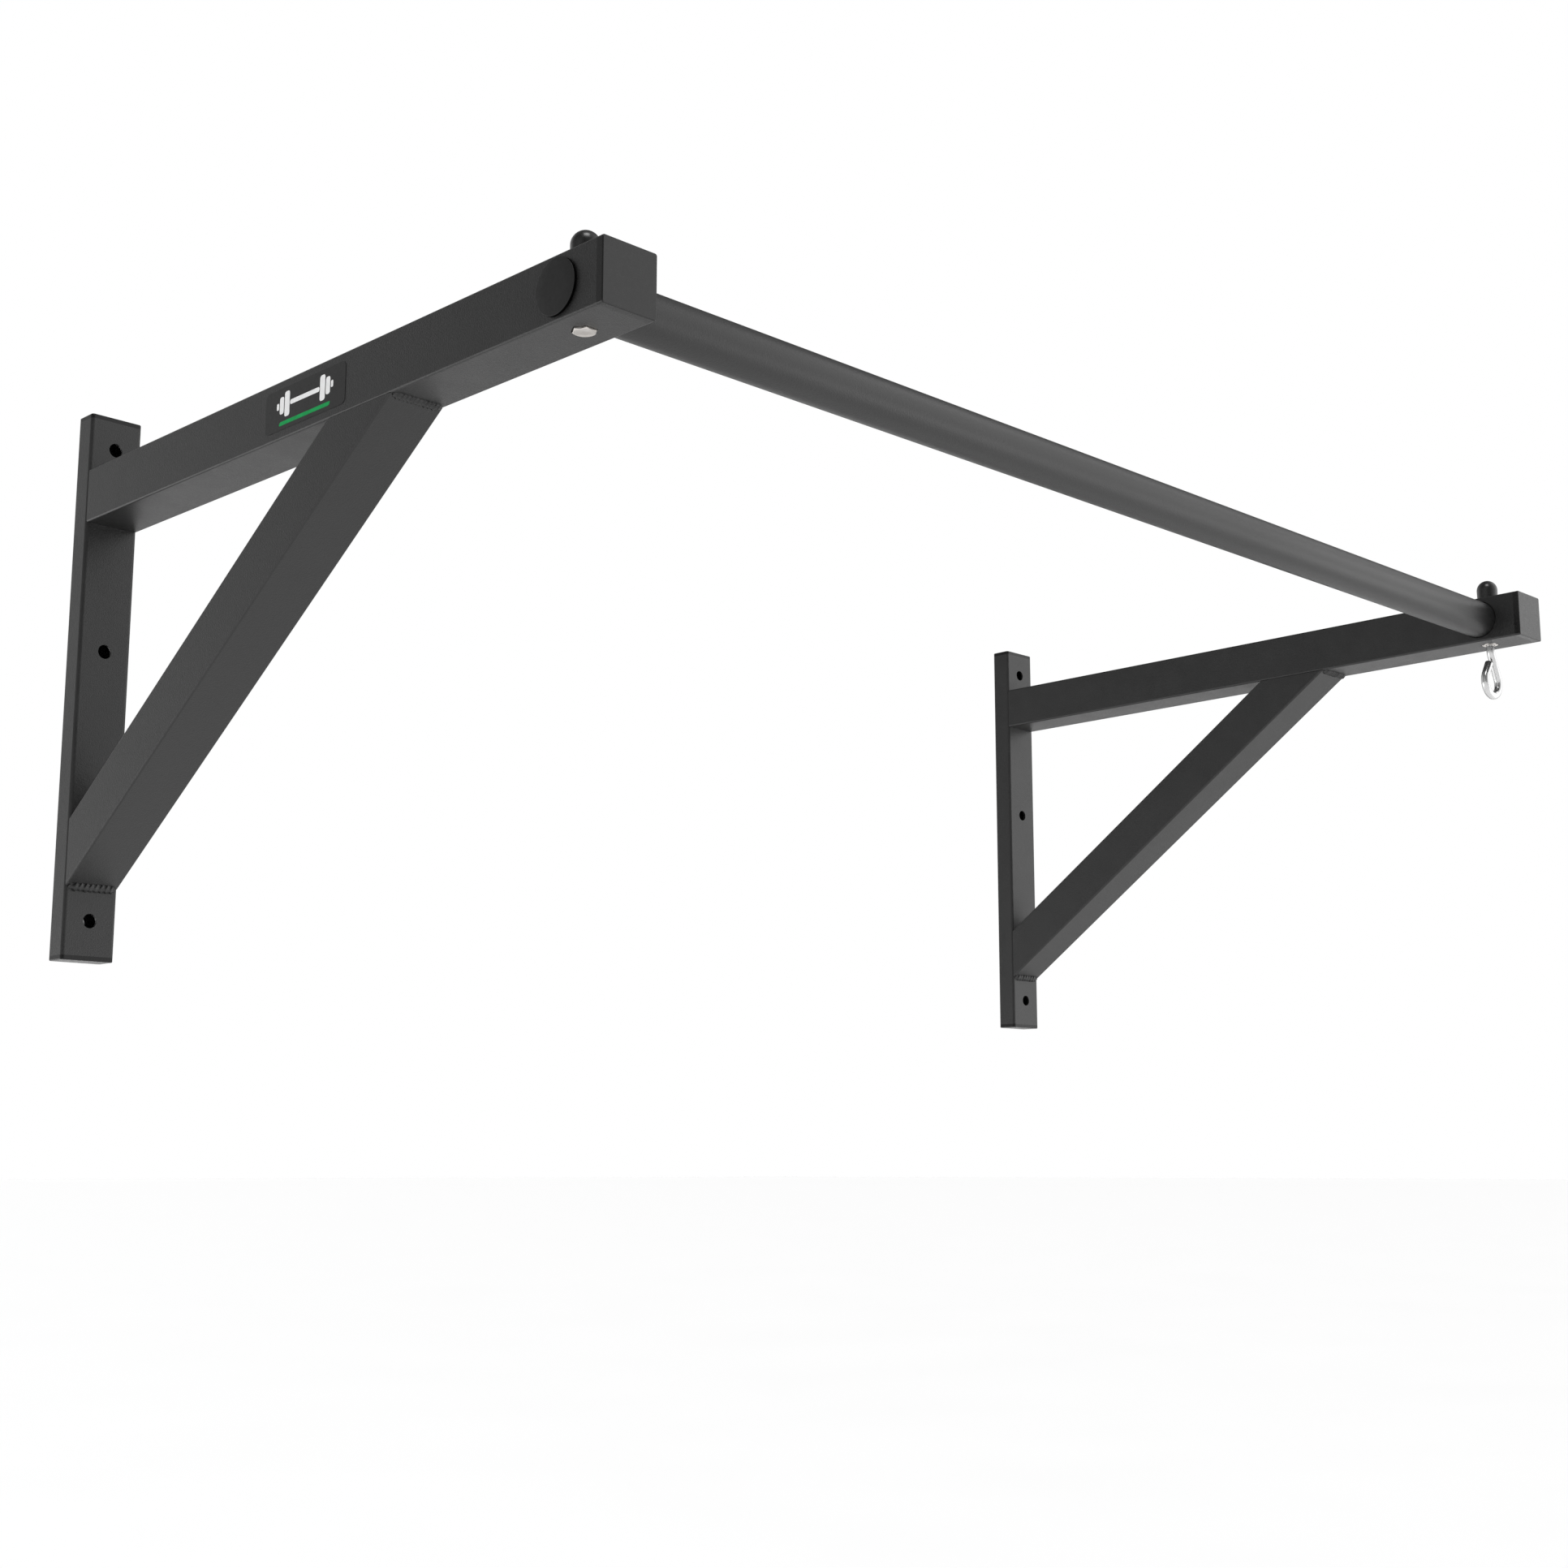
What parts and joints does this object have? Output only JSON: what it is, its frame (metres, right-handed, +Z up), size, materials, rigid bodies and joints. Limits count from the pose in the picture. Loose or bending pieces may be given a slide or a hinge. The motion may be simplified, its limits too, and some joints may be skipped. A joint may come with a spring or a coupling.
{
  "type": "pull up bar",
  "caption": "Wall-mounted pull up bar: braced square-tube brackets hold a round grip bar out from the wall, with an eye bolt under one arm for hanging straps.",
  "frame": {"origin": "on the wall, in the middle of the rectangle of the four outer wall holes", "axes": "+X along the bar towards the eye bolt's side, +Y into the wall, +Z up"},
  "size_m": [1.1038, 0.6, 0.403],
  "materials": {
    "frame_coat": "fine-textured charcoal powder coat on welded steel tube",
    "bar_coat": "the same charcoal powder coat, worn a little smoother where hands grip",
    "weld_coat": "rippled weld bead under the powder coat",
    "cap_plastic": "moulded black plastic with a fine satin grain",
    "dome_plastic": "smooth glossy black plastic",
    "zinc_hardware": "bright zinc plating with light tool marks",
    "eye_chrome": "polished bent wire, bare where it was cut off",
    "plate_print": null
  },
  "bodies": {
    "wall_frame": {"left_wall_tube": "frame_coat", "left_arm_tube": "frame_coat", "left_brace_tube": "frame_coat", "left_arm_end_cap": "cap_plastic", "left_wall_top_cap": "cap_plastic", "left_wall_bottom_cap": "cap_plastic", "left_weld_brace_foot": "weld_coat", "left_weld_brace_head": "weld_coat", "left_weld_arm_top": "weld_coat", "left_bar_plug": "cap_plastic", "left_top_nut": "zinc_hardware", "right_wall_tube": "frame_coat", "right_arm_tube": "frame_coat", "right_brace_tube": "frame_coat", "right_arm_end_cap": "cap_plastic", "right_wall_top_cap": "cap_plastic", "right_wall_bottom_cap": "cap_plastic", "right_weld_brace_foot": "weld_coat", "right_weld_brace_head": "weld_coat", "right_weld_arm_top": "weld_coat", "right_bar_plug": "cap_plastic", "right_top_nut": "zinc_hardware", "pull_up_bar": "bar_coat", "left_hex_bolt": "zinc_hardware", "right_lower_nut": "zinc_hardware", "name_plate": "plate_print"},
    "left_nut_cap_body": {"left_nut_cap": "dome_plastic"},
    "right_nut_cap_body": {"right_nut_cap": "dome_plastic"},
    "eye_bolt_body": {"right_eye_bolt": "eye_chrome"}
  },
  "joints": [
    {"name": "left_nut_cap_pull_off", "type": "slide", "parent": "wall_frame", "child": "left_nut_cap_body", "axis": [0, 0, 1], "range_m": [0, 0.03]},
    {"name": "right_nut_cap_pull_off", "type": "slide", "parent": "wall_frame", "child": "right_nut_cap_body", "axis": [0, 0, 1], "range_m": [0, 0.03]},
    {"name": "eye_bolt_turn", "type": "hinge", "parent": "wall_frame", "child": "eye_bolt_body", "pos_m": [0.53, -0.5611, 0.136], "axis": [0, 0, 1], "continuous": true}
  ]
}
